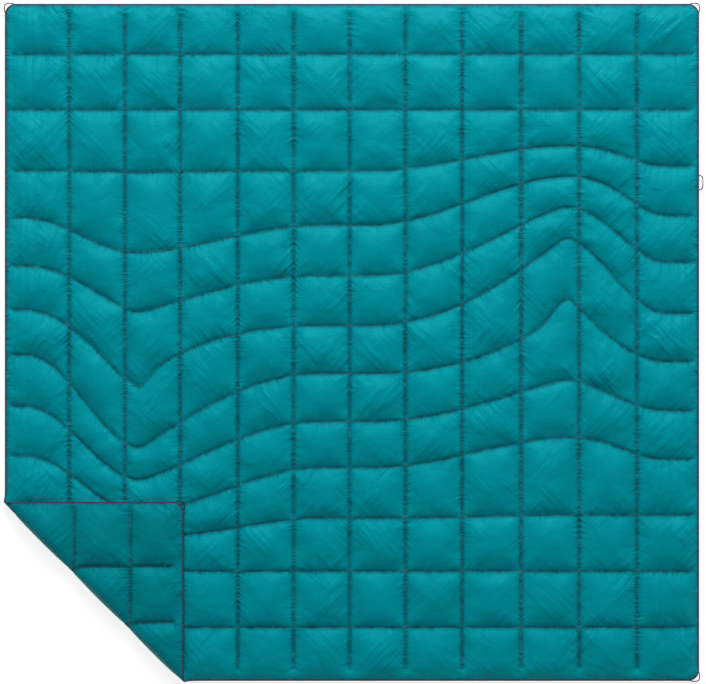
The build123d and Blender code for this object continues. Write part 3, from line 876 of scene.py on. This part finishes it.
def tack_piece(name, tacks, sign, body, node):
    """Bar tacks, each a place and an angle, as one piece that stands for a CAD node."""
    spots, heights, faces = [], [], []
    for place, angle in tacks:
        tack_spots, tack_heights, tack_faces = bar_tack(place, angle, sign)
        offset = sum(len(part) for part in spots)
        faces += [[corner + offset for corner in face] for face in tack_faces]
        spots.append(tack_spots)
        heights.append(tack_heights)
    piece = new_mesh(name, lay(np.concatenate(spots), np.concatenate(heights)), faces, THREAD, body)
    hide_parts(node)


TACK_REACH = 0.029  # from the square corner to a corner loop's tacks
TACK_INSET = 0.0042
SIDE_TACK_INSET = 0.001  # from the side loop's ends to its tacks


def corner_tacks(corner):
    """The two tacks of the loop at a corner, which is given by its signs."""
    return [
        ((corner[0] * (HALF_WIDTH - TACK_INSET), corner[1] * (HALF_LENGTH - TACK_REACH)), 0),
        ((corner[0] * (HALF_WIDTH - TACK_REACH), corner[1] * (HALF_LENGTH - TACK_INSET)), math.pi / 2),
    ]


CORNERS = {"top_left": (-1, 1), "top_right": (1, 1), "bottom_right": (1, -1)}
FLAP_CORNER = (-1, -1)
blanket_tacks = [tack for corner in CORNERS.values() for tack in corner_tacks(corner)]
tack_piece("corner_tacks", blanket_tacks, 1, "blanket", "corner_bar_tacks")
SIDE_LOW, SIDE_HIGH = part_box("side_loop")
side_tack_places = (SIDE_LOW.y + SIDE_TACK_INSET, SIDE_HIGH.y - SIDE_TACK_INSET)
side_tacks = [((HALF_WIDTH - TACK_INSET, y), 0) for y in side_tack_places]
tack_piece("side_tacks", side_tacks, 1, "blanket", "side_loop_bar_tacks")
tack_piece("flap_tacks", corner_tacks(FLAP_CORNER), -1, "corner_flap", "flap_bar_tacks")


# ---------------------------------------------------------------- elastic loops
def cord_piece(name, points, body, node):
    """Elastic cord along a smooth curve, sewn into the tape at both ends, for a CAD node."""
    curve = bpy.data.curves.new(name, "CURVE")
    curve.dimensions = "3D"
    curve.bevel_depth = CORD_DIAMETER / 2
    curve.bevel_resolution = 4
    curve.resolution_u = 10
    curve.use_fill_caps = True
    spline = curve.splines.new("NURBS")
    spline.points.add(len(points) - 1)
    for point, place in zip(spline.points, points):
        point.co = (*place, 1)
    spline.order_u = 3
    spline.use_endpoint_u = True
    curve.materials.append(CORD)
    piece = new_piece(name, curve, body)
    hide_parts(node)


# a corner loop's route, as millimetres in from the two sides of the square corner
CORNER_ROUTE = (
    (2.5, 27.0),
    (-0.6, 23.5),
    (-1.5, 16.0),
    (-1.2, 7.0),
    (1.2, 1.2),
    (7.0, -1.2),
    (16.0, -1.5),
    (23.5, -0.6),
    (27.0, 2.5),
)


def corner_route(corner):
    """The loop's route at a corner, which is given by its signs, where it lies on the folded blanket."""
    inset = np.array(CORNER_ROUTE) / 1000
    flat = np.array(corner) * (np.array([HALF_WIDTH, HALF_LENGTH]) - inset)
    return lay(flat, np.zeros(len(flat))).tolist()


for label, corner in CORNERS.items():
    node = f"corner_loop_{label}"
    cord_piece(f"corner_cord_{label}", corner_route(corner), f"{node}_cord", node)
flap_route = corner_route(FLAP_CORNER)
cord_piece("corner_cord_flap", flap_route, "flap_corner_loop_cord", "flap_corner_loop")

# the side loop's route, as millimetres out from the edge and up from the loop's middle
SIDE_ROUTE = (
    (-3.0, 22.5),
    (1.8, 21.5),
    (8.5, 18.5),
    (10.8, 12.0),
    (10.75, 0.0),
    (10.8, -12.0),
    (8.5, -18.5),
    (1.8, -21.5),
    (-3.0, -22.5),
)
side_y = (SIDE_LOW.y + SIDE_HIGH.y) / 2
side_points = [(HALF_WIDTH + x / 1000, side_y + y / 1000, SEAM_Z) for x, y in SIDE_ROUTE]
cord_piece("side_cord", side_points, "side_loop_assembly", "side_loop")
sleeve = frame["nodes"]["side_loop_sleeve"]
sleeve.data.materials.clear()
sleeve.data.materials.append(PLASTIC)

# ---------------------------------------------------------------- floor, light and camera
FLOOR_HALF = 8
FLOOR_GREY = (0.25, 0.25, 0.25)
FLOOR_GLOW = 0.8  # the floor shines a little by itself, so that it is as white as the photograph's
WORLD_LIGHT = 0.42
KEY_ENERGY = 800
KEY_SIZE = 4
KEY_PLACE = Vector((0.25, 6.92, 5.41))
VIEW_WIDTH = 2.059  # of the blanket's plane, across the picture
VIEW_CENTRE = (0.003, 0.001)
LENS = 120

paper = Nodes("floor", FLOOR_GREY, 0.9)
paper.shader.inputs["Emission Color"].default_value = (*WHITE, 1)
paper.shader.inputs["Emission Strength"].default_value = FLOOR_GLOW
floor_corners = [(FLOOR_HALF * x, FLOOR_HALF * y, 0) for x, y in ((-1, -1), (1, -1), (1, 1), (-1, 1))]
floor = new_mesh("floor", floor_corners, [(0, 1, 2, 3)], paper.material)

key = bpy.data.lights.new("key", "AREA")
key.energy = KEY_ENERGY
key.shape = "SQUARE"
key.size = KEY_SIZE
key_object = bpy.data.objects.new("key", key)
key_object.location = KEY_PLACE
key_object.rotation_euler = (-KEY_PLACE).to_track_quat("-Z", "Y").to_euler()
bpy.context.scene.collection.objects.link(key_object)

world = bpy.data.worlds.new("studio")
world.use_nodes = True
background = world.node_tree.nodes["Background"]
background.inputs["Color"].default_value = (*WHITE, 1)
background.inputs["Strength"].default_value = WORLD_LIGHT
bpy.context.scene.world = world
bpy.context.scene.view_settings.view_transform = "Standard"

camera = bpy.data.cameras.new("camera")
camera.lens = LENS
camera.sensor_width = 36
camera.clip_end = 60
camera_object = bpy.data.objects.new("camera", camera)
camera_object.location = (*VIEW_CENTRE, LOFT_TOP + VIEW_WIDTH * LENS / camera.sensor_width)
bpy.context.scene.collection.objects.link(camera_object)
bpy.context.scene.camera = camera_object
